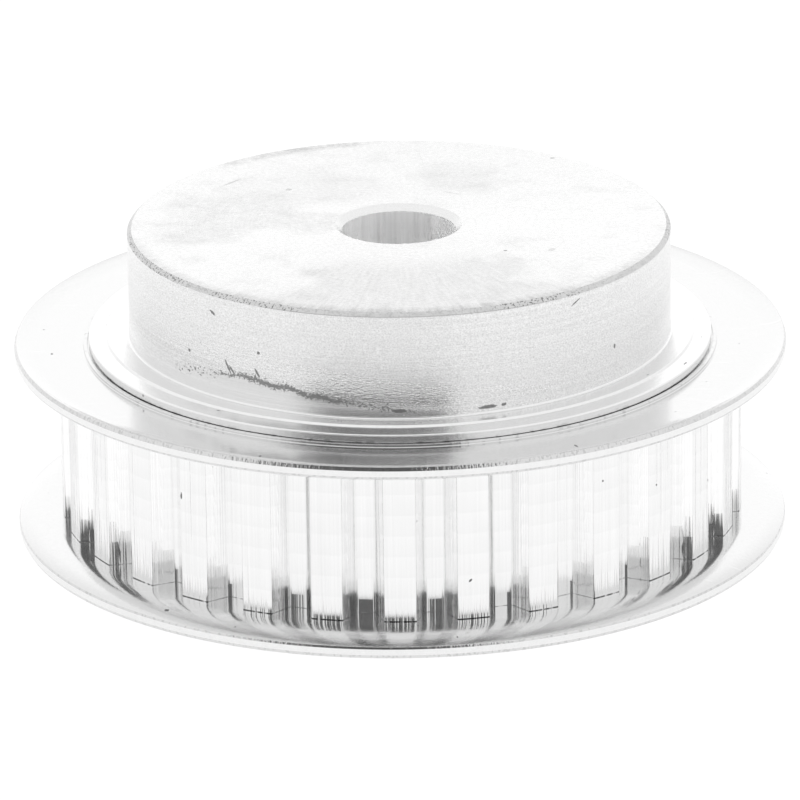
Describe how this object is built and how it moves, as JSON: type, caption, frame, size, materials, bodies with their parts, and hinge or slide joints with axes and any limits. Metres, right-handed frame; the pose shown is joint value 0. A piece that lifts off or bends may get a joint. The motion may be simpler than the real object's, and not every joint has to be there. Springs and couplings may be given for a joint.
{
  "type": "timing belt pulley",
  "caption": "Flanged toothed pulley for a narrow XL-pitch timing belt, with a long round hub on one side and a plain pilot bore.",
  "frame": {"origin": "shaft axis at the plain end face, the end away from the hub", "axes": "+Z along the shaft axis towards the hub end; -Y points out through the middle of a tooth, to within half a degree"},
  "size_m": [0.0542, 0.0542, 0.0222],
  "materials": {
    "turned_aluminium": "turned and hobbed, bright, fine tool marks",
    "pressed_aluminium": "smooth rolled sheet, bright, with a sheared rim"
  },
  "bodies": {
    "root": {"toothed_body": "turned_aluminium", "hub_side_flange": "pressed_aluminium", "plain_side_flange": "pressed_aluminium"}
  },
  "joints": []
}
